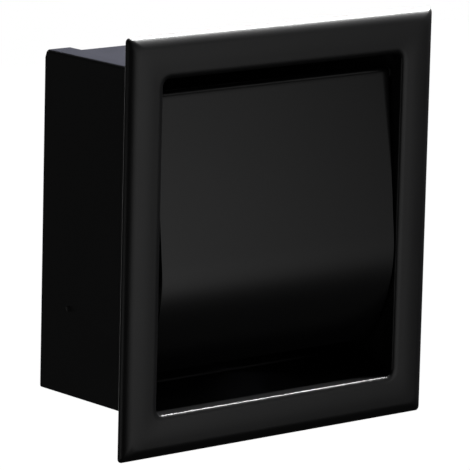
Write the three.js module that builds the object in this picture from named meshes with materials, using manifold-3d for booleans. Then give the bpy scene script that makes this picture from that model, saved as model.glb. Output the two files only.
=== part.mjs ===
// Recessed toilet paper holder: a folded sheet steel box that sits in a wall, a pressed front frame,
// a curved cover that hangs from a rod, and a telescopic roller for the paper inside.
// Millimetres, +Z up. The front faces -Y and +X is to the right as seen from the front.
// The origin is the middle of the box on the plane of the wall, where the frame's rim rests.
import * as THREE from 'three';
import { mergeVertices } from 'three/addons/utils/BufferGeometryUtils.js';
import Module from 'manifold-3d';

const wasm = await Module();
wasm.setup();

const X = new THREE.Vector3(1, 0, 0);
const Y = new THREE.Vector3(0, 1, 0);
const Z = new THREE.Vector3(0, 0, 1);
const cutMargin = 5; // how far a cutting solid runs past what it cuts
const cutOverlap = 0.01; // overlap of two cuts that follow each other
const gap = 0.3; // clearance between two pieces that touch

// Box in the wall
const boxWidth = 130;
const boxHeight = 140;
const boxDepth = 70;
const boxSheet = 1;
const boxFold = 1.2; // outer radius of the four folds
const boxFoldInner = 0.4;
const slotWidth = 107; // hanging slot across the top rear edge
const slotDepth = 9;
const cornerCut = { along: 1.2, down: 3.2 }; // snipped rear corners of the top fold

// Back tray, inside the rear of the box
const trayFlange = 25;
const trayTop = 66;
const trayTopInSlot = 60;
const screwHole = { radius: 2.5, x: 42, high: 38, low: -42 };

// Front frame
const frameWidth = 160;
const frameHeight = 170;
const frameProud = 4;
const frameRim = 1; // straight edge that rests on the wall
const frameBevel = 5;
const frameSheet = 1;
const frameCorner = 1.5;
const collarDepth = 3; // how far the frame's collar reaches behind the wall plane
const openingRoll = { width: 3.2, depth: 1.6 }; // rolled edge of the opening, part of an ellipse
const openingCorner = 6.4;

// Cover flap and its hinge
const hinge = { y: 6, z: 59 };
const coverWidth = 123;
const coverSheet = 0.8;
const barrelRadius = 2.35; // outside of the rolled top edge
const barrelCurl = THREE.MathUtils.degToRad(300);
const coverLean = THREE.MathUtils.degToRad(5.7);
const coverStraight = 67.6;
const coverArcRadius = 60;
const coverArcEnd = THREE.MathUtils.degToRad(42.6);
const arcSegments = 16;
const rodRadius = 1.25;
const rodLength = 134.4;
const bush = { bore: 1.55, body: 2.2, flange: 2.8, thickness: 1.9, length: 3.8 };
const clip = { radius: 2.9, length: 2.4, endWall: 0.8 };
const bumper = { radius: 3, edge: 0.6, reach: 4.2, neck: 1.5, bulb: 2.2, bulbLength: 1.5 };

// Rivets that hold the tray
const rivet = { y: 52.3, z: -33.9, head: 1.6, dome: 0.8, shank: 0.8, inner: 1.5, innerLength: 0.6 };
const rivetDomeSteps = 4;

// Roller
const roller = { y: 14, z: 10 };
const outerTube = { radius: 11, wall: 0.8, from: -56.5, to: 6, lip: 1, lipBore: 9.6 };
const innerTube = { radius: 9.3, wall: 0.8, from: -8, to: 56.5, flare: 1, flareRadius: 9.9 };
const cap = { flange: 11, flangeFrom: 56.8, flangeTo: 58.5, plug: 8, pinRadius: 3.6, pinEnd: 62.6 };
const capPinEdge = 0.8; // chamfer on the tip of the pin
const cup = { flange: 10, flangeDepth: 1, boss: 6.5, depth: 4, bore: 4.1, floor: 0.8 };
const spring = { radius: 7.3, wire: 0.6, turns: 9, sides: 6, stepsPerTurn: 14 };

// Sizes that follow from the ones above
const boxInnerX = boxWidth / 2 - boxSheet;
const boxInnerZ = boxHeight / 2 - boxSheet;
const collarOuterX = boxInnerX - gap;
const collarOuterZ = boxInnerZ - gap;
const openingX = collarOuterX - frameSheet + openingRoll.width;
const openingZ = collarOuterZ - frameSheet + openingRoll.width;

const blackCoat = () => new THREE.MeshStandardMaterial({ color: 0x17181a, roughness: 0.42, metalness: 0.2 });
const stainless = () => new THREE.MeshStandardMaterial({ color: 0xb9bcbe, roughness: 0.3, metalness: 1 });
const blackNylon = () => new THREE.MeshStandardMaterial({ color: 0x1d1d1f, roughness: 0.55, metalness: 0 });
const greyRubber = () => new THREE.MeshStandardMaterial({ color: 0x3a3b3d, roughness: 0.8, metalness: 0 });

const holder = new THREE.Group();

function addPiece(parent, name, geometry, material) {
  const mesh = new THREE.Mesh(geometry, material);
  mesh.name = name;
  parent.add(mesh);
  return mesh;
}

function toSolid(geometry) {
  const bare = geometry.clone();
  bare.deleteAttribute('normal');
  bare.deleteAttribute('uv');
  const merged = mergeVertices(bare, 1e-4);
  return new wasm.Manifold(new wasm.Mesh({
    numProp: 3,
    vertProperties: merged.getAttribute('position').array,
    triVerts: new Uint32Array(merged.index.array),
  }));
}

function toGeometry(solid) {
  const mesh = solid.getMesh();
  const geometry = new THREE.BufferGeometry();
  geometry.setAttribute('position', new THREE.BufferAttribute(mesh.vertProperties, 3));
  geometry.setIndex(new THREE.BufferAttribute(mesh.triVerts, 1));
  geometry.computeVertexNormals();
  return geometry;
}

function box(x, y, z) {
  const geometry = new THREE.BoxGeometry(x[1] - x[0], y[1] - y[0], z[1] - z[0]);
  geometry.translate((x[0] + x[1]) / 2, (y[0] + y[1]) / 2, (z[0] + z[1]) / 2);
  return geometry;
}

function roundedRectangle(halfX, halfZ, radius) {
  const shape = new THREE.Shape();
  shape.absarc(halfX - radius, halfZ - radius, radius, 0, Math.PI / 2);
  shape.absarc(radius - halfX, halfZ - radius, radius, Math.PI / 2, Math.PI);
  shape.absarc(radius - halfX, radius - halfZ, radius, Math.PI, 1.5 * Math.PI);
  shape.absarc(halfX - radius, radius - halfZ, radius, 1.5 * Math.PI, 2 * Math.PI);
  shape.closePath();
  return shape;
}

function rectangle(halfX, halfZ) {
  const shape = new THREE.Shape();
  shape.moveTo(halfX, halfZ);
  shape.lineTo(-halfX, halfZ);
  shape.lineTo(-halfX, -halfZ);
  shape.lineTo(halfX, -halfZ);
  shape.closePath();
  return shape;
}

// Extrudes a shape drawn in X and Z from front to back along Y; settings may add a bevel to both ends.
function extrudeAlongY(shape, front, back, settings = {}) {
  const bevel = settings.bevelThickness ?? 0;
  const geometry = new THREE.ExtrudeGeometry(shape, {
    depth: back - front - 2 * bevel,
    bevelEnabled: bevel > 0,
    curveSegments: 5,
    ...settings,
  });
  geometry.rotateX(Math.PI / 2);
  geometry.translate(0, back - bevel, 0);
  return geometry;
}

// Turns a shape drawn as (y, z) and extruded along +Z so that it lies in the Y-Z plane and runs along X.
function extrudeAlongX(shape, from, to, curveSegments) {
  const geometry = new THREE.ExtrudeGeometry(shape, { depth: to - from, bevelEnabled: false, curveSegments });
  geometry.applyMatrix4(new THREE.Matrix4().makeBasis(Y, Z, X));
  geometry.translate(from, 0, 0);
  return geometry;
}

// Revolves [radius, x] pairs round the X axis. The profile runs towards +X on its outer side.
function turn(profile, segments = 24) {
  const points = profile.map(([radius, x]) => new THREE.Vector2(radius, x));
  const geometry = new THREE.LatheGeometry(points, segments);
  geometry.applyMatrix4(new THREE.Matrix4().makeBasis(Y, X, new THREE.Vector3(0, 0, -1)));
  return geometry;
}

// A pin along X through both side walls, for cutting a pair of holes.
function crossPin(radius, y, z) {
  const reach = boxWidth / 2 + cutMargin;
  const geometry = turn([[0, -reach], [radius, -reach], [radius, reach], [0, reach]]);
  geometry.translate(0, y, z);
  return toSolid(geometry);
}

// The two tools that open the hanging slot and snip the rear corners of the top fold.
function slotCutter(below) {
  const half = slotWidth / 2;
  const above = boxHeight / 2 + cutMargin;
  return toSolid(box([-half, half], [boxDepth - slotDepth, boxDepth + cutMargin], [below, above]));
}

function cornerCutter() {
  const rear = boxDepth;
  const top = boxHeight / 2;
  const wedge = new THREE.Shape();
  wedge.moveTo(rear - cornerCut.along, top);
  wedge.lineTo(rear, top - cornerCut.down);
  wedge.lineTo(rear + cutMargin, top - cornerCut.down);
  wedge.lineTo(rear + cutMargin, top + cutMargin);
  wedge.lineTo(rear - cornerCut.along, top + cutMargin);
  wedge.closePath();
  return toSolid(extrudeAlongX(wedge, -boxWidth, boxWidth, 1));
}

// One strip of sheet folded into a square tube: top, bottom and both sides.
function housingWrap() {
  const front = frameSheet - frameProud + gap;
  const outline = roundedRectangle(boxWidth / 2, boxHeight / 2, boxFold);
  const hollow = roundedRectangle(boxInnerX, boxInnerZ, boxFoldInner);
  const tube = toSolid(extrudeAlongY(outline, front, boxDepth))
    .subtract(toSolid(extrudeAlongY(hollow, front - cutMargin, boxDepth + cutMargin)));
  return toGeometry(tube
    .subtract(slotCutter(boxInnerZ - cutMargin))
    .subtract(cornerCutter())
    .subtract(crossPin(bush.body + gap, hinge.y, hinge.z))
    .subtract(crossPin(bumper.neck + gap, bumperPlace().y, bumperPlace().z))
    .subtract(crossPin(rivet.shank + gap, rivet.y, rivet.z)));
}

// Back panel with side and bottom flanges that lie inside the wrap.
function backTray() {
  const halfX = boxInnerX - gap;
  const bottom = gap - boxInnerZ;
  const front = boxDepth - trayFlange;
  const block = toSolid(box([-halfX, halfX], [front, boxDepth], [bottom, trayTop]));
  const hollow = toSolid(box(
    [boxSheet - halfX, halfX - boxSheet],
    [front - cutMargin, boxDepth - boxSheet],
    [bottom + boxSheet, trayTop + cutMargin],
  ));
  let tray = block
    .subtract(hollow)
    .subtract(slotCutter(trayTopInSlot))
    .subtract(crossPin(rivet.shank + gap, rivet.y, rivet.z));
  for (const x of [-screwHole.x, screwHole.x]) {
    for (const z of [screwHole.low, screwHole.high]) {
      const drill = new THREE.CylinderGeometry(screwHole.radius, screwHole.radius, cutMargin, 20);
      drill.translate(x, boxDepth - boxSheet / 2, z);
      tray = tray.subtract(toSolid(drill));
    }
  }
  return toGeometry(tray);
}

// A rectangle with a rounded bevel along its front edges and its rear half cut away at the wall plane.
function bevelledPlate(halfX, halfZ, front, bevelDepth, bevelSize) {
  const plate = extrudeAlongY(rectangle(halfX - bevelSize, halfZ - bevelSize), front, 4 * frameProud, {
    bevelThickness: bevelDepth,
    bevelSize,
    bevelSegments: 5,
  });
  const keep = box([-frameWidth, frameWidth], [-frameWidth, 0], [-frameHeight, frameHeight]);
  return toSolid(plate).intersect(toSolid(keep));
}

// Pressed frame: bevelled outside, hollow behind, with a rolled collar that reaches into the box.
function frontFrame() {
  const halfX = frameWidth / 2;
  const halfZ = frameHeight / 2;
  const skin = bevelledPlate(halfX, halfZ, -frameProud, frameProud - frameRim, frameBevel);
  const outline = roundedRectangle(halfX, halfZ, frameCorner);
  const corners = toSolid(extrudeAlongY(outline, -2 * frameProud, frameProud));
  const underX = halfX - frameSheet;
  const underZ = halfZ - frameSheet;
  const underDepth = frameProud - frameRim - frameSheet / 2;
  const underBevel = frameBevel - frameSheet / 3;
  const under = bevelledPlate(underX, underZ, frameSheet - frameProud, underDepth, underBevel);
  const collarCorner = openingCorner - openingRoll.width + frameSheet;
  const collarOutline = roundedRectangle(collarOuterX, collarOuterZ, collarCorner);
  const collar = toSolid(extrudeAlongY(collarOutline, frameSheet / 2 - frameProud, collarDepth));
  const opening = roundedRectangle(openingX, openingZ, openingCorner);
  const entry = extrudeAlongY(opening, -2 * frameProud, cutOverlap - frameProud);
  const mouth = extrudeAlongY(opening, -frameProud, 2 * frameProud, {
    bevelThickness: openingRoll.depth,
    bevelSize: -openingRoll.width,
    bevelSegments: 5,
  });
  return toGeometry(skin.intersect(corners)
    .subtract(under)
    .add(collar)
    .subtract(toSolid(entry))
    .subtract(toSolid(mouth)));
}

// Centre of the arc that shapes the lower part of the cover.
function coverArcCentre() {
  const reach = coverArcRadius - barrelRadius;
  return {
    y: hinge.y + reach * Math.cos(coverLean) - coverStraight * Math.sin(coverLean),
    z: hinge.z - reach * Math.sin(coverLean) - coverStraight * Math.cos(coverLean),
  };
}

// Curved sheet: a barrel rolled round the rod, a straight leaning part and an arc that ends in the lower edge.
function coverFlap() {
  const centre = coverArcCentre();
  const front = Math.PI - coverLean; // direction from an axis to the sheet's front
  const innerRadius = coverArcRadius - coverSheet;
  const outline = new THREE.Shape();
  outline.absarc(centre.y, centre.z, coverArcRadius, Math.PI + coverArcEnd, front, true);
  outline.absarc(hinge.y, hinge.z, barrelRadius, front, front - barrelCurl, true);
  outline.absarc(hinge.y, hinge.z, barrelRadius - coverSheet, front - barrelCurl, front, false);
  outline.absarc(centre.y, centre.z, innerRadius, front, Math.PI + coverArcEnd, false);
  outline.closePath();
  return extrudeAlongX(outline, -coverWidth / 2, coverWidth / 2, arcSegments);
}

// The bumper touches the back of the cover's arc, near its lower edge.
function bumperPlace() {
  const centre = coverArcCentre();
  const angle = coverArcEnd * 0.75;
  const reach = coverArcRadius - coverSheet - gap - bumper.radius;
  return { y: centre.y - reach * Math.cos(angle), z: centre.z - reach * Math.sin(angle) };
}

function hingeRod() {
  const half = rodLength / 2;
  return turn([[0, -half], [rodRadius, -half], [rodRadius, half], [0, half]]);
}

// Flanged bush with its flange inside the wall; x is counted from the inner face of the wall outwards.
function hingeBush() {
  return turn([
    [bush.bore, -bush.thickness], [bush.flange, -bush.thickness], [bush.flange, 0],
    [bush.body, 0], [bush.body, bush.length - bush.thickness], [bush.bore, bush.length - bush.thickness],
    [bush.bore, -bush.thickness],
  ]);
}

function rodClip() {
  const floor = clip.length - clip.endWall;
  return turn([
    [bush.bore, 0], [clip.radius, 0], [clip.radius, clip.length], [0, clip.length],
    [0, floor], [bush.bore, floor], [bush.bore, 0],
  ]);
}

function flapBumper() {
  const bulbFrom = boxSheet + 2 * gap;
  const bulbTo = bulbFrom + bumper.bulbLength;
  return turn([
    [0, -bumper.reach], [bumper.radius - bumper.edge, -bumper.reach],
    [bumper.radius, bumper.edge - bumper.reach], [bumper.radius, 0], [bumper.neck, 0],
    [bumper.neck, bulbFrom], [bumper.bulb, bulbFrom], [bumper.neck, bulbTo], [0, bulbTo],
  ]);
}

// Rivet with its dome outside the box; x is counted from the outer face of the wall outwards.
function sideRivet() {
  const tail = -2 * boxSheet - 2 * gap;
  const dome = [];
  for (let step = 0; step < rivetDomeSteps; step += 1) {
    const angle = (step / rivetDomeSteps) * (Math.PI / 2);
    dome.push([rivet.head * Math.cos(angle), gap + rivet.dome * Math.sin(angle)]);
  }
  dome.push([0, gap + rivet.dome]);
  return turn([
    [0, tail - rivet.innerLength], [rivet.inner, tail - rivet.innerLength], [rivet.inner, tail],
    [rivet.shank, tail], [rivet.shank, gap], ...dome,
  ], 20);
}

// Cup that holds one end of the roller; x is counted from the wall inwards as negative.
function rollerCup() {
  return turn([
    [0, -cup.floor], [cup.bore, -cup.floor], [cup.bore, -cup.depth],
    [cup.boss, -cup.depth], [cup.boss, -cup.flangeDepth], [cup.flange, -cup.flangeDepth],
    [cup.flange, 0], [0, 0],
  ], 32);
}

function rollerTubeOuter() {
  const bore = outerTube.radius - outerTube.wall;
  return turn([
    [bore, outerTube.from], [outerTube.radius, outerTube.from], [outerTube.radius, outerTube.to],
    [outerTube.lipBore, outerTube.to], [outerTube.lipBore, outerTube.to - outerTube.lip],
    [bore, outerTube.to - outerTube.lip], [bore, outerTube.from],
  ], 40);
}

// Inner tube: its inner end is closed and flared so that it can't leave the outer tube.
function rollerTubeInner() {
  const bore = innerTube.radius - innerTube.wall;
  return turn([
    [0, innerTube.from], [innerTube.flareRadius, innerTube.from],
    [innerTube.flareRadius, innerTube.from + innerTube.flare], [innerTube.radius, innerTube.from + innerTube.flare],
    [innerTube.radius, innerTube.to], [bore, innerTube.to],
    [bore, innerTube.from + innerTube.flare], [0, innerTube.from + innerTube.flare],
  ], 40);
}

// End cap with the pin outwards; plugRadius is the bore of its tube less the clearance.
function rollerCap(plugRadius) {
  return turn([
    [0, cap.flangeFrom - cap.plug], [plugRadius, cap.flangeFrom - cap.plug], [plugRadius, cap.flangeFrom],
    [cap.flange, cap.flangeFrom], [cap.flange, cap.flangeTo], [cap.pinRadius, cap.flangeTo],
    [cap.pinRadius, cap.pinEnd - capPinEdge], [cap.pinRadius - capPinEdge, cap.pinEnd], [0, cap.pinEnd],
  ], 32);
}

// Coil between the left cap's plug and the inner tube's closed end.
function rollerSpring() {
  const clear = spring.wire + gap;
  const from = cap.plug - cap.flangeFrom + clear;
  const to = innerTube.from - clear;
  const points = [];
  const steps = spring.turns * spring.stepsPerTurn;
  for (let step = 0; step <= steps; step += 1) {
    const angle = (step / spring.stepsPerTurn) * 2 * Math.PI;
    points.push(new THREE.Vector3(
      from + ((to - from) * step) / steps, spring.radius * Math.cos(angle), spring.radius * Math.sin(angle),
    ));
  }
  const wire = new THREE.Shape();
  wire.absarc(0, 0, spring.wire, 0, 2 * Math.PI);
  return new THREE.ExtrudeGeometry(wire, {
    steps,
    curveSegments: spring.sides / 2,
    bevelEnabled: false,
    extrudePath: new THREE.CatmullRomCurve3(points),
  });
}

// Adds a left and a right copy of a piece that is turned round X and drawn for the right-hand wall.
function addPair(parent, name, make, material, x, y, z) {
  for (const [side, sign] of [['left', -1], ['right', 1]]) {
    const piece = addPiece(parent, `${name}_${side}`, make(), material());
    piece.position.set(sign * x, y, z);
    piece.rotation.z = sign < 0 ? Math.PI : 0;
  }
}

const housing = new THREE.Group();
addPiece(housing, 'housing_wrap', housingWrap(), blackCoat());
addPiece(housing, 'back_tray', backTray(), blackCoat());
addPiece(housing, 'front_frame', frontFrame(), blackCoat());
addPair(housing, 'side_rivet', sideRivet, blackCoat, boxWidth / 2, rivet.y, rivet.z);
addPair(housing, 'hinge_bush', hingeBush, blackNylon, boxInnerX - gap, hinge.y, hinge.z);
addPair(housing, 'rod_clip', rodClip, blackNylon, boxWidth / 2 + 3 * gap, hinge.y, hinge.z);
addPair(housing, 'flap_bumper', flapBumper, greyRubber, boxInnerX - gap, bumperPlace().y, bumperPlace().z);
addPair(housing, 'roller_cup', rollerCup, blackCoat, boxInnerX - gap, roller.y, roller.z);
addPiece(housing, 'hinge_rod', hingeRod(), stainless()).position.set(0, hinge.y, hinge.z);
holder.add(housing);

addPiece(holder, 'cover_flap', coverFlap(), blackCoat());

const rollerGroup = new THREE.Group();
rollerGroup.position.set(0, roller.y, roller.z);
addPiece(rollerGroup, 'roller_tube_outer', rollerTubeOuter(), stainless());
addPiece(rollerGroup, 'roller_tube_inner', rollerTubeInner(), stainless());
addPiece(rollerGroup, 'roller_spring', rollerSpring(), stainless());
const leftPlug = outerTube.radius - outerTube.wall - gap;
addPiece(rollerGroup, 'roller_cap_left', rollerCap(leftPlug), blackNylon()).rotation.z = Math.PI;
const rightPlug = innerTube.radius - innerTube.wall - gap;
addPiece(rollerGroup, 'roller_cap_right', rollerCap(rightPlug), blackNylon());
holder.add(rollerGroup);

export default holder;
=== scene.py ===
import math
import bpy
import bmesh
from mathutils import Matrix, Vector


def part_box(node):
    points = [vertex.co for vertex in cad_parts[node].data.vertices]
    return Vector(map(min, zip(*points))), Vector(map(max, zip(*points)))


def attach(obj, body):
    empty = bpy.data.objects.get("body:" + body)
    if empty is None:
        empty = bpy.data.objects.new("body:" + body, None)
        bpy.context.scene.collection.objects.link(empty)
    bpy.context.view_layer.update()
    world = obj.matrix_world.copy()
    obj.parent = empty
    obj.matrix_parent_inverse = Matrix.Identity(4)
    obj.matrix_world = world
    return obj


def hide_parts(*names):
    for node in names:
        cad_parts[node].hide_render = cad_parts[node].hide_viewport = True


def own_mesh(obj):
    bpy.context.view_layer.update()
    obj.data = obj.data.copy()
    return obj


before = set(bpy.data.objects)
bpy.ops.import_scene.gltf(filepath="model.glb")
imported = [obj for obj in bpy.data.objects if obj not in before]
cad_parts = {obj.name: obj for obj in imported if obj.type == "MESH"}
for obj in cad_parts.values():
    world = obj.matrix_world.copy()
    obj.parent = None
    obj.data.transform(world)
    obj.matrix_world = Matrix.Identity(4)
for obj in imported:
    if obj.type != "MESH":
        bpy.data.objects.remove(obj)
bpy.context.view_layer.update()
mm = 0.001


# small helpers
def linear(hexColour):  # sRGB hex to the linear values that the shader wants
    values = [int(hexColour[i:i + 2], 16) / 255 for i in (1, 3, 5)]
    return [v / 12.92 if v <= 0.04045 else ((v + 0.055) / 1.055) ** 2.4 for v in values] + [1.0]


def addNode(tree, kind, settings=None, inputs=None, links=None):
    node = tree.nodes.new(kind)
    for name, value in (settings or {}).items():
        setattr(node, name, value)
    for name, value in (inputs or {}).items():
        node.inputs[name].default_value = value
    for name, (source, output) in (links or {}).items():
        tree.links.new(source.outputs[output], node.inputs[name])
    return node


def newPiece(name, bm, material, body, nodes, bevelWidth=0.0, angle=30):
    bmesh.ops.remove_doubles(bm, verts=bm.verts, dist=1e-7)
    bmesh.ops.recalc_face_normals(bm, faces=bm.faces)
    mesh = bpy.data.meshes.new(name)
    bm.to_mesh(mesh)
    bm.free()
    mesh.shade_smooth()
    mesh.set_sharp_from_angle(angle=math.radians(angle))
    piece = bpy.data.objects.new(name, mesh)
    bpy.context.scene.collection.objects.link(piece)
    mesh.materials.append(material)
    if bevelWidth:
        bevel = piece.modifiers.new("softEdges", "BEVEL")
        bevel.width = bevelWidth * mm
        bevel.segments = 3
        bevel.limit_method = "ANGLE"
        bevel.angle_limit = math.radians(angle)
        bevel.harden_normals = True
    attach(piece, body)
    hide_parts(*nodes)
    return piece


# materials
def startMaterial(name, look):
    material = bpy.data.materials.new(name)
    material.use_nodes = True
    tree = material.node_tree
    shader = tree.nodes["Principled BSDF"]
    shader.inputs["Base Color"].default_value = linear(look["colour"])
    place = addNode(tree, "ShaderNodeTexCoord")
    return material, tree, shader, place


def noise(tree, place, size, detail):  # soft noise whose grain is size millimetres wide
    return addNode(tree, "ShaderNodeTexNoise", inputs={"Scale": 1 / (size * mm), "Detail": detail},
                   links={"Vector": (place, "Object")})


def varyRoughness(tree, shader, source, low, high):
    gloss = addNode(tree, "ShaderNodeMapRange", inputs={"To Min": low, "To Max": high},
                    links={"Value": (source, "Fac")})
    tree.links.new(gloss.outputs["Result"], shader.inputs["Roughness"])


def raiseBumps(tree, shader, source, strength, height):
    bump = addNode(tree, "ShaderNodeBump", inputs={"Strength": strength, "Distance": height * mm},
                   links={"Height": (source, "Fac")})
    tree.links.new(bump.outputs["Normal"], shader.inputs["Normal"])


def coatedSteel(name, look):  # black baked coating on steel: dark, with a soft sheen and a faint orange peel
    material, tree, shader, place = startMaterial(name, look)
    peel = noise(tree, place, look["peelSize"], 2.0)
    cloud = noise(tree, place, look["cloudSize"], 3.0)
    varyRoughness(tree, shader, cloud, look["roughness"] - look["roughnessSpread"],
                  look["roughness"] + look["roughnessSpread"])
    raiseBumps(tree, shader, peel, look["peelStrength"], look["peelHeight"])
    tint = addNode(tree, "ShaderNodeMix", {"data_type": "RGBA"}, links={"Factor": (cloud, "Fac")})
    tint.inputs["A"].default_value = linear(look["colour"])
    tint.inputs["B"].default_value = linear(look["colourWorn"])
    shape = addNode(tree, "ShaderNodeNewGeometry")
    wear = addNode(tree, "ShaderNodeMapRange",
                   inputs={"From Min": 0.52, "From Max": 0.62, "To Max": look["edgeWear"]},
                   links={"Value": (shape, "Pointiness")})  # the coating is rubbed thin along outer edges
    rubbed = addNode(tree, "ShaderNodeMix", {"data_type": "RGBA"}, links={"Factor": (wear, "Result")})
    tree.links.new(tint.outputs["Result"], rubbed.inputs["A"])
    rubbed.inputs["B"].default_value = linear(look["edgeColour"])
    tree.links.new(rubbed.outputs["Result"], shader.inputs["Base Color"])
    shader.inputs["IOR"].default_value = look["ior"]
    return material


def groundSteel(name, look):  # steel ground or drawn round its axis: fine rings that stretch the highlight
    material, tree, shader, place = startMaterial(name, look)
    ringScale = (1 / (look["grain"] * mm), 25, 25)
    along = addNode(tree, "ShaderNodeMapping", inputs={"Scale": ringScale}, links={"Vector": (place, "Object")})
    rings = addNode(tree, "ShaderNodeTexNoise", inputs={"Scale": 1.0, "Detail": 4.0},
                    links={"Vector": (along, "Vector")})
    varyRoughness(tree, shader, rings, look["roughness"] - 0.08, look["roughness"] + 0.1)
    raiseBumps(tree, shader, rings, 0.12, 0.005)
    shader.inputs["Metallic"].default_value = 1.0
    return material


def mouldedPolymer(name, look):  # moulded nylon or rubber: spark-eroded grain and no metal shine
    material, tree, shader, place = startMaterial(name, look)
    grain = noise(tree, place, look["grain"], 3.0)
    varyRoughness(tree, shader, grain, look["roughness"] - 0.06, look["roughness"] + 0.08)
    raiseBumps(tree, shader, grain, 0.4, 0.03)
    shader.inputs["IOR"].default_value = look["ior"]
    return material


satinEnamel = coatedSteel("satinBlackStoveEnamel", {
    "colour": "#0b0b0c", "colourWorn": "#0e0e0f", "ior": 1.47, "roughness": 0.36, "roughnessSpread": 0.03,
    "peelSize": 0.9, "peelStrength": 0.12, "peelHeight": 0.02, "cloudSize": 35,
    "edgeColour": "#2a2a2b", "edgeWear": 0.5})
smoothEnamel = coatedSteel("satinBlackStoveEnamelOnRolledSheet", {  # flat sheet takes the enamel smoother
    "colour": "#0b0b0c", "colourWorn": "#0e0e0f", "ior": 1.53, "roughness": 0.3, "roughnessSpread": 0.02,
    "peelSize": 0.9, "peelStrength": 0.12, "peelHeight": 0.02, "cloudSize": 35,
    "edgeColour": "#2a2a2b", "edgeWear": 0.5})
powderCoat = coatedSteel("fineBlackPowderCoat", {  # duller and grainier than the enamel
    "colour": "#0a0a0b", "colourWorn": "#0d0d0e", "ior": 1.5, "roughness": 0.56, "roughnessSpread": 0.04,
    "peelSize": 0.6, "peelStrength": 0.25, "peelHeight": 0.03, "cloudSize": 30,
    "edgeColour": "#262627", "edgeWear": 0.6})
stainless = groundSteel("groundStainlessSteel", {"colour": "#c9cacc", "roughness": 0.27, "grain": 0.15})
springWire = groundSteel("zincPlatedSpringWire", {"colour": "#a9abb0", "roughness": 0.33, "grain": 0.6})
blackNylon = mouldedPolymer("mouldedBlackNylon", {
    "colour": "#161617", "roughness": 0.5, "grain": 0.35, "ior": 1.53})
greyRubber = mouldedPolymer("mouldedGreyRubber", {
    "colour": "#3b3c3e", "roughness": 0.75, "grain": 0.5, "ior": 1.52})
print("materials ready")


# shapes
def rectangleLoop(bm, halfX, halfZ, radius, y, segments):  # vertices of a rounded upright rectangle
    made = bmesh.ops.create_grid(bm, x_segments=1, y_segments=1, size=1)
    corners = made["verts"]
    stand = Matrix.Translation((0, y * mm, 0)) @ Matrix.Rotation(math.pi / 2, 4, "X")
    bmesh.ops.transform(bm, verts=corners, matrix=stand @ Matrix.Diagonal((halfX * mm, halfZ * mm, 1, 1)))
    face = corners[0].link_faces[0]
    rounded = bmesh.ops.bevel(bm, geom=corners, offset=radius * mm, offset_type="OFFSET", segments=segments,
                              profile=0.5, affect="VERTICES", material=-1, clamp_overlap=True)
    face = rounded["verts"][0].link_faces[0]
    verts = list(face.verts)
    bmesh.ops.delete(bm, geom=[face], context="FACES_ONLY")
    return verts


def joinLoops(bm, here, there):  # quads between two loops that have their vertices in the same order
    for i, corner in enumerate(here):
        bm.faces.new((here[i - 1], corner, there[i], there[i - 1]))


def arc(centre, radius, start, end, steps):  # points of an arc, angles in degrees
    points = []
    for step in range(steps + 1):
        angle = math.radians(start + (end - start) * step / steps)
        points.append((centre[0] + radius * math.cos(angle), centre[1] + radius * math.sin(angle)))
    return points


def turned(profile, place, segments=72, closed=False):  # (radius, x) points spun round the X axis
    bm = bmesh.new()
    y, z = place[0] * mm, place[1] * mm
    verts = [bm.verts.new((x * mm, y + radius * mm, z)) for radius, x in profile]
    edges = [bm.edges.new(pair) for pair in zip(verts, verts[1:])]
    if closed:
        edges.append(bm.edges.new((verts[-1], verts[0])))
    bmesh.ops.spin(bm, geom=verts + edges, cent=(0, y, z), axis=(1, 0, 0), dvec=(0, 0, 0),
                   angle=2 * math.pi, steps=segments, use_merge=True, use_normal_flip=False,
                   use_duplicate=False)
    return bm


def mirrored(profile, sign):  # the same turned profile for the right-hand wall or the left-hand one
    return [(radius, sign * x) for radius, x in profile]


def centreOf(node):  # middle of a CAD node's box, in millimetres
    low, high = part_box(node)
    return (low + high) / 2 / mm


# front frame
frontFrame = {"halfX": 80, "halfZ": 85, "proud": 4, "rim": 1, "rimRound": 0.6, "bevel": 5, "sheet": 1,
              "corner": 1.5, "faceCorner": 4, "crown": 0.18, "chamfer": 1.25,
              "collarX": 63.7, "collarZ": 68.7, "collarEnd": 3,
              "rollWidth": 3.2, "rollDepth": 1.6, "openingCorner": 6.4, "edge": 0.2}


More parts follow.
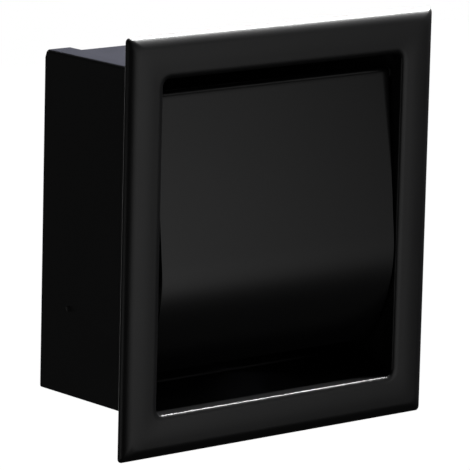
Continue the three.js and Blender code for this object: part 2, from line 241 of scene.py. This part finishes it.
def makeFrontFrame(spec):
    outerX, outerZ = spec["halfX"], spec["halfZ"]
    face = -spec["proud"]
    openX = spec["collarX"] - spec["sheet"] + spec["rollWidth"]
    openZ = spec["collarZ"] - spec["sheet"] + spec["rollWidth"]
    rings = []  # each one is halfX, halfZ, corner radius, y

    def outerRing(inset, y):
        share = min(1, inset / spec["bevel"])
        corner = spec["corner"] + (spec["faceCorner"] - spec["corner"]) * share
        rings.append((outerX - inset, outerZ - inset, corner, y))

    def innerRing(outset, y):
        rings.append((openX + outset, openZ + outset, spec["openingCorner"] + outset, y))

    rimRound = spec["rimRound"]
    outerRing(rimRound, 0)
    for inset, y in arc((rimRound, -rimRound), rimRound, 90, 180, 4)[1:]:
        outerRing(inset, y)
    bevelDepth = spec["proud"] - spec["rim"] - spec["crown"]
    bevelSteps = 16
    for step in range(bevelSteps + 1):  # rounded chamfer from the rim to the face
        angle = math.radians(90 * step / bevelSteps)
        outerRing(spec["bevel"] * (1 - math.cos(angle) ** spec["chamfer"]),
                  -spec["rim"] - bevelDepth * math.sin(angle) ** spec["chamfer"])
    faceWidth = outerX - spec["bevel"] - openX
    crownSteps = 6
    for step in range(1, crownSteps):  # the face is very slightly crowned, as pressed sheet is
        share = step / crownSteps
        y = face + spec["crown"] * (2 * share - 1) ** 2
        corner = spec["faceCorner"] + (spec["openingCorner"] - spec["faceCorner"]) * share
        inset = spec["bevel"] + faceWidth * share
        rings.append((outerX - inset, outerZ - inset, corner, y))
    rollSteps = 10
    for step in range(rollSteps + 1):
        angle = math.radians(90 * step / rollSteps)
        innerRing(-spec["rollWidth"] * math.sin(angle),
                  face + spec["crown"] + (spec["rollDepth"] - spec["crown"]) * (1 - math.cos(angle)))
    inner, edge, sheet = -spec["rollWidth"], spec["edge"], spec["sheet"]
    innerRing(inner, spec["collarEnd"] - edge)
    innerRing(inner + edge, spec["collarEnd"])
    innerRing(inner + sheet - edge, spec["collarEnd"])
    innerRing(inner + sheet, spec["collarEnd"] - edge)
    innerRing(inner + sheet, face + spec["rollDepth"] + edge)
    innerRing(inner + 1.8 * sheet, face + spec["rollDepth"] - 0.3 * sheet)
    innerRing(0, face + sheet)
    outerRing(spec["bevel"], face + sheet)
    insideSteps = 6
    reach = spec["bevel"] - sheet
    for step in range(1, insideSteps + 1):  # back of the chamfer
        angle = math.radians(90 - 90 * step / insideSteps)
        outerRing(sheet + reach * (1 - math.cos(angle) ** spec["chamfer"]),
                  -spec["rim"] - (bevelDepth - sheet) * math.sin(angle) ** spec["chamfer"])
    outerRing(sheet, -edge)
    outerRing(sheet - edge, 0)
    bm = bmesh.new()
    loops = [rectangleLoop(bm, *ring, segments=8) for ring in rings]
    for here, there in zip(loops, loops[1:] + loops[:1]):
        joinLoops(bm, here, there)
    return newPiece("frontFrameShell", bm, satinEnamel, "housing",
                    ["front_frame"], angle=40)


framePiece = makeFrontFrame(frontFrame)
print("front frame ready")


# cover flap
cover = {"hinge": (6, 59), "halfWidth": 61.5, "sheet": 0.8, "barrel": 2.35, "curl": 300, "lean": 5.7,
         "straight": 67.6, "arc": 60, "arcEnd": 42.6, "edge": 0.22}


def makeCoverFlap(spec):
    lean = math.radians(spec["lean"])
    reach = spec["arc"] - spec["barrel"]
    centre = (spec["hinge"][0] + reach * math.cos(lean) - spec["straight"] * math.sin(lean),
              spec["hinge"][1] - reach * math.sin(lean) - spec["straight"] * math.cos(lean))
    front = 180 - spec["lean"]
    outline = arc(centre, spec["arc"], 180 + spec["arcEnd"], front, 36)
    knee, top = outline[-1], arc(spec["hinge"], spec["barrel"], front, front, 1)[0]
    for share in (0.02, 0.25, 0.5, 0.75, 0.98):  # rows that hold the straight part flat
        outline.append((knee[0] + (top[0] - knee[0]) * share, knee[1] + (top[1] - knee[1]) * share))
    outline += arc(spec["hinge"], spec["barrel"], front, front - spec["curl"], 30)
    bm = bmesh.new()
    verts = [bm.verts.new((-spec["halfWidth"] * mm, y * mm, z * mm)) for y, z in outline]
    edges = [bm.edges.new(pair) for pair in zip(verts, verts[1:])]
    swept = bmesh.ops.extrude_edge_only(bm, edges=edges)
    moved = [item for item in swept["geom"] if isinstance(item, bmesh.types.BMVert)]
    bmesh.ops.translate(bm, verts=moved, vec=(2 * spec["halfWidth"] * mm, 0, 0))
    bmesh.ops.recalc_face_normals(bm, faces=bm.faces)
    lowest = min(bm.faces, key=lambda each: each.calc_center_median().z)
    if lowest.normal.y > 0:  # the front has to face -Y before the sheet is thickened behind it
        bmesh.ops.reverse_faces(bm, faces=bm.faces)
    bmesh.ops.solidify(bm, geom=bm.faces, thickness=spec["sheet"] * mm)
    return newPiece("coverSheet", bm, smoothEnamel, "cover",
                    ["cover_flap"], bevelWidth=spec["edge"])


flapPiece = makeCoverFlap(cover)
print("cover ready")


# box in the wall
sheetBox = {"edge": 0.25, "flatWithin": 0.5}


def refinedSheet(name, node, spec):  # the node's own shape with merged faces and softened edges
    bm = bmesh.new()
    bm.from_mesh(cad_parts[node].data)
    bmesh.ops.remove_doubles(bm, verts=bm.verts, dist=1e-6)
    flat = math.radians(spec["flatWithin"])
    bmesh.ops.dissolve_limit(bm, angle_limit=flat, verts=bm.verts, edges=bm.edges)
    return newPiece(name, bm, powderCoat, "housing", [node], bevelWidth=spec["edge"])


boxPieces = [refinedSheet("boxWrapSheet", "housing_wrap", sheetBox),
             refinedSheet("backTraySheet", "back_tray", sheetBox)]
print("box ready")


# small pieces that come in pairs, one on each side wall
innerWall = 63.7  # a pair's flanges stop here, just inside the wall
outerWall = 65


def sidePair(name, node, profile, material, edge, hungOn=None, segments=72, closed=False):
    for side, sign in (("left", -1), ("right", 1)):
        own = node + "_" + side
        bm = turned(mirrored(profile, sign), centreOf(hungOn or own).yz, segments, closed)
        newPiece(name + side.capitalize(), bm, material, "housing", [own], bevelWidth=edge)


# hinge bushes
bush = {"bore": 1.55, "flange": 2.8, "thickness": 1.9, "body": 2.2, "pastWall": 1.9, "edge": 0.25}


def makeHingeBushes(spec):
    start, end = innerWall - spec["thickness"], innerWall + spec["pastWall"]
    profile = [(spec["bore"], start), (spec["flange"], start), (spec["flange"], innerWall),
               (spec["body"], innerWall), (spec["body"], end), (spec["bore"], end)]
    sidePair("hingeBush", "hinge_bush", profile, blackNylon, spec["edge"],
             hungOn="hinge_rod", closed=True)


makeHingeBushes(bush)


# clips on the ends of the hinge rod
clip = {"bore": 1.55, "radius": 2.9, "standOff": 0.9, "length": 2.4, "endWall": 0.8, "edge": 0.35}


def makeRodClips(spec):
    start = outerWall + spec["standOff"]
    end = start + spec["length"]
    floor = end - spec["endWall"]
    profile = [(0, floor), (spec["bore"], floor), (spec["bore"], start),
               (spec["radius"], start), (spec["radius"], end), (0, end)]
    sidePair("rodClip", "rod_clip", profile, blackNylon, spec["edge"], hungOn="hinge_rod")


makeRodClips(clip)


# rubber bumpers that the cover rests on
bumper = {"radius": 3, "reach": 4.2, "neck": 1.5, "bulb": 2.2, "bulbFrom": 0.3, "bulbEnd": 1.8, "edge": 0.5}


def makeFlapBumpers(spec):
    start = innerWall - spec["reach"]
    bulbFrom, bulbEnd = outerWall + spec["bulbFrom"], outerWall + spec["bulbEnd"]
    profile = [(0, start), (spec["radius"], start), (spec["radius"], innerWall), (spec["neck"], innerWall),
               (spec["neck"], bulbFrom), (spec["bulb"], bulbFrom), (spec["neck"], bulbEnd), (0, bulbEnd)]
    sidePair("flapBumper", "flap_bumper", profile, greyRubber, spec["edge"])


makeFlapBumpers(bumper)


# rivets that hold the tray
rivet = {"head": 1.2, "dome": 0.3, "lift": 0.03, "shank": 0.8, "tail": 1.5, "tailLength": 0.6,
         "tailInset": 1.3, "edge": 0.12}


def makeSideRivets(spec):
    start = innerWall - spec["tailInset"]
    seat = outerWall + spec["lift"]
    profile = [(0, start - spec["tailLength"]), (spec["tail"], start - spec["tailLength"]),
               (spec["tail"], start), (spec["shank"], start), (spec["shank"], seat)]
    for degrees in range(0, 90, 9):
        angle = math.radians(degrees)
        profile.append((spec["head"] * math.cos(angle), seat + spec["dome"] * math.sin(angle)))
    profile.append((0, seat + spec["dome"]))
    sidePair("sideRivet", "side_rivet", profile, powderCoat, spec["edge"], segments=40)


makeSideRivets(rivet)


# cups for the roller's pins
cup = {"flange": 10, "flangeDepth": 1, "boss": 6.5, "depth": 4, "bore": 4.1, "floor": 0.8, "edge": 0.35}


def makeRollerCups(spec):
    floor, mouth = innerWall - spec["floor"], innerWall - spec["depth"]
    step = innerWall - spec["flangeDepth"]
    profile = [(0, floor), (spec["bore"], floor), (spec["bore"], mouth), (spec["boss"], mouth),
               (spec["boss"], step), (spec["flange"], step), (spec["flange"], innerWall), (0, innerWall)]
    sidePair("rollerCup", "roller_cup", profile, powderCoat, spec["edge"])


makeRollerCups(cup)


# hinge rod
rod = {"radius": 1.25, "edge": 0.3}


def makeHingeRod(spec):
    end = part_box("hinge_rod")[1].x / mm
    profile = [(0, -end), (spec["radius"], -end), (spec["radius"], end), (0, end)]
    newPiece("hingeRodBar", turned(profile, centreOf("hinge_rod").yz, 48), stainless,
             "housing", ["hinge_rod"], bevelWidth=spec["edge"])


makeHingeRod(rod)
print("hardware ready")


# roller tubes
rollerAxis = centreOf("roller_tube_outer").yz
outerTube = {"radius": 11, "wall": 0.8, "from": -56.5, "to": 6, "lip": 1, "lipBore": 9.6,
             "grooveAt": (-52.5, 1), "groove": 0.25, "grooveSlope": 0.3, "grooveWidth": 1.2, "edge": 0.2}
innerTube = {"radius": 9.3, "wall": 0.8, "from": -8, "to": 56.5, "flare": 9.9, "flareLength": 1, "edge": 0.2}


def makeOuterTube(spec):
    radius, start, end = spec["radius"], spec["from"], spec["to"]
    bore = radius - spec["wall"]
    low, slope, width = radius - spec["groove"], spec["grooveSlope"], spec["grooveWidth"]
    profile = [(bore, start), (radius, start)]
    for at in spec["grooveAt"]:  # shallow turned rings near the ends
        profile += [(radius, at), (low, at + slope), (low, at + width - slope), (radius, at + width)]
    lipFrom = end - spec["lip"]
    profile += [(radius, end), (spec["lipBore"], end), (spec["lipBore"], lipFrom), (bore, lipFrom)]
    return newPiece("rollerOuterTube", turned(profile, rollerAxis, 96, closed=True), stainless,
                    "roller", ["roller_tube_outer"], bevelWidth=spec["edge"])


def makeInnerTube(spec):
    radius, start, end = spec["radius"], spec["from"], spec["to"]
    bore = radius - spec["wall"]
    flareEnd = start + spec["flareLength"]
    profile = [(0, start), (spec["flare"], start), (spec["flare"], flareEnd), (radius, flareEnd),
               (radius, end), (bore, end), (bore, flareEnd), (0, flareEnd)]
    return newPiece("rollerInnerTube", turned(profile, rollerAxis, 96), stainless,
                    "roller_plunger", ["roller_tube_inner"], bevelWidth=spec["edge"])


rollerPieces = [makeOuterTube(outerTube), makeInnerTube(innerTube)]


# roller caps
cap = {"flange": 11, "from": 56.8, "to": 58.5, "plug": 8, "plugGap": 0.3, "pin": 3.6, "pinEnd": 62.6,
       "pinTip": 0.8, "pinRoot": 0.5, "edge": 0.25}


def makeRollerCap(spec, side, sign, bore, body):
    plug, pin = bore - spec["plugGap"], spec["pin"]
    profile = [(0, spec["from"] - spec["plug"]), (plug, spec["from"] - spec["plug"]), (plug, spec["from"]),
               (spec["flange"], spec["from"]), (spec["flange"], spec["to"]), (pin + spec["pinTip"], spec["to"]),
               (pin, spec["to"] + spec["pinRoot"]), (pin, spec["pinEnd"] - spec["pinTip"]),
               (pin - spec["pinTip"], spec["pinEnd"]), (0, spec["pinEnd"])]
    return newPiece("rollerCap" + side.capitalize(), turned(mirrored(profile, sign), rollerAxis), blackNylon,
                    body, ["roller_cap_" + side], bevelWidth=spec["edge"])


rollerPieces += [makeRollerCap(cap, "left", -1, outerTube["radius"] - outerTube["wall"], "roller"),
                 makeRollerCap(cap, "right", 1, innerTube["radius"] - innerTube["wall"], "roller_plunger")]


# roller spring
coil = {"radius": 7.3, "wire": 0.6, "turns": 9, "stepsPerTurn": 28, "wireSides": 10, "stroke": 12}


def makeCoilSpring(spec):
    low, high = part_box("roller_spring")
    start, end = low.x / mm + spec["wire"], high.x / mm - spec["wire"]
    y, z = rollerAxis[0] * mm, rollerAxis[1] * mm
    bm = bmesh.new()
    wire = bmesh.ops.create_circle(bm, cap_ends=False, segments=spec["wireSides"], radius=spec["wire"] * mm)
    bmesh.ops.translate(bm, verts=wire["verts"], vec=(start * mm, y + spec["radius"] * mm, z))
    steps = spec["turns"] * spec["stepsPerTurn"]
    bmesh.ops.spin(bm, geom=bm.verts[:] + bm.edges[:], cent=(0, y, z), axis=(1, 0, 0),
                   dvec=((end - start) * mm / steps, 0, 0), angle=2 * math.pi * spec["turns"], steps=steps,
                   use_merge=False, use_normal_flip=False, use_duplicate=False)
    ends = [edge for edge in bm.edges if len(edge.link_faces) == 1]
    bmesh.ops.holes_fill(bm, edges=ends, sides=0)
    spring = newPiece("rollerCoilSpring", bm, springWire, "roller", ["roller_spring"], angle=50)
    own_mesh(spring)
    return spring


rollerPieces.append(makeCoilSpring(coil))
print("roller ready")


# camera
camera = {"aim": (-21.7, 0, 0.7), "azimuth": -40.12, "elevation": 11.38, "roll": 1.42,
          "distance": 1763, "lens": 337.24, "sensor": 36}


def makeCamera(spec):
    scene = bpy.context.scene
    settings = bpy.data.cameras.new("productCamera")
    settings.lens = spec["lens"]
    settings.sensor_width = spec["sensor"]
    settings.clip_start, settings.clip_end = 0.05, 50
    viewer = bpy.data.objects.new("productCamera", settings)
    azimuth, elevation = math.radians(spec["azimuth"]), math.radians(spec["elevation"])
    back = Vector((math.sin(azimuth) * math.cos(elevation),
                   -math.cos(azimuth) * math.cos(elevation),
                   math.sin(elevation)))
    place = Vector(spec["aim"]) * mm + back * spec["distance"] * mm
    roll = Matrix.Rotation(math.radians(spec["roll"]), 4, "Z")
    turn = back.to_track_quat("Z", "Y").to_matrix().to_4x4() @ roll
    viewer.matrix_world = Matrix.Translation(place) @ turn
    scene.collection.objects.link(viewer)
    scene.camera = viewer
    scene.view_settings.view_transform = "Standard"


makeCamera(camera)


# soft light
def softbox(name, direction, distance, size, glow, tint="#ffffff", only=None):  # area light of even glow
    light = bpy.data.lights.new(name, "AREA")
    light.shape = "RECTANGLE"
    light.size, light.size_y = size[0] * mm, size[1] * mm
    light.energy = glow * math.pi * light.size * light.size_y
    light.color = linear(tint)[:3]
    holder = bpy.data.objects.new(name, light)
    towards = Vector(direction).normalized()
    holder.location = towards * distance * mm
    holder.rotation_euler = towards.to_track_quat("Z", "Y").to_euler()
    holder.visible_camera = False
    bpy.context.scene.collection.objects.link(holder)
    if only:  # then just these pieces catch it
        caught = bpy.data.collections.new(name + "Catchers")
        for piece in only:
            caught.objects.link(piece)
        holder.light_linking.receiver_collection = caught
    return light


softbox("frontCard", (0.29, -0.95, -0.14), 1400, (1180, 700), 0.80)
softbox("overheadCard", (0.63, -0.48, 0.61), 1300, (700, 460), 0.5)
softbox("rearCard", (0.62, 0.72, 0.34), 1500, (1300, 800), 1.75, "#e6e8ff", only=boxPieces)
softbox("coverCard", (0.42, 0.50, 0.76), 1400, (900, 700), 0.6, only=[flapPiece])
softbox("rollerCard", (0.10, -0.90, 0.42), 1400, (1400, 500), 1.1, only=rollerPieces)
softbox("rearTopCard", (-0.10, 0.72, 0.68), 1400, (700, 400), 0.4)
softbox("rearLowCard", (0.70, 0.64, -0.30), 1500, (800, 500), 0.8)
softbox("rearSideCard", (-0.85, -0.42, -0.30), 1500, (600, 500), 0.6)
softbox("backdropCard", (0.12, 0.98, -0.15), 1500, (1000, 900), 0.9)
softbox("sideCard", (-0.72, 0.69, 0.0), 620, (300, 300), 0.015)
softbox("leftCard", (-1.0, 0.0, -0.1), 1400, (600, 900), 0.15)
rimStrip = softbox("rimStrip", (0.63, 0.16, 0.75), 1200, (1000, 360), 95, only=[framePiece])
rimStrip.cycles.max_bounces = 0  # first reflection only, so nothing sees it again in the lit lip
rimStrip.cycles.use_multiple_importance_sampling = False


# pale surroundings
surroundings = {"seen": 1.0, "lighting": 0.02, "paper": "#f4f4f4", "floor": -1150, "floorReach": 6}


def makeSurroundings(spec):  # white where the camera looks past the object, dim where it is only reflected
    world = bpy.data.worlds.new("paleStudio")
    world.use_nodes = True
    tree = world.node_tree
    tree.nodes.clear()
    path = addNode(tree, "ShaderNodeLightPath")
    white = (1, 1, 1, 1)
    dim = addNode(tree, "ShaderNodeBackground", inputs={"Color": white, "Strength": spec["lighting"]})
    pale = addNode(tree, "ShaderNodeBackground", inputs={"Color": white, "Strength": spec["seen"]})
    mix = addNode(tree, "ShaderNodeMixShader", links={"Fac": (path, "Is Camera Ray")})
    tree.links.new(dim.outputs[0], mix.inputs[1])
    tree.links.new(pale.outputs[0], mix.inputs[2])
    output = addNode(tree, "ShaderNodeOutputWorld")
    tree.links.new(mix.outputs[0], output.inputs[0])
    bpy.context.scene.world = world

    bm = bmesh.new()
    bmesh.ops.create_grid(bm, x_segments=1, y_segments=1, size=spec["floorReach"])
    bmesh.ops.translate(bm, verts=bm.verts, vec=(0, 0, spec["floor"] * mm))
    mesh = bpy.data.meshes.new("paleFloor")
    bm.to_mesh(mesh)
    bm.free()
    floor = bpy.data.objects.new("paleFloor", mesh)
    bpy.context.scene.collection.objects.link(floor)
    paper = bpy.data.materials.new("matWhitePaper")  # rough and evenly bright, so no edge shows
    paper.use_nodes = True
    shader = paper.node_tree.nodes["Principled BSDF"]
    shader.inputs["Base Color"].default_value = linear(spec["paper"])
    shader.inputs["Roughness"].default_value = 0.9
    shader.inputs["Emission Color"].default_value = white
    shader.inputs["Emission Strength"].default_value = spec["seen"]
    mesh.materials.append(paper)
    floor.visible_glossy = False
    floor.visible_diffuse = False


makeSurroundings(surroundings)
print("studio ready")
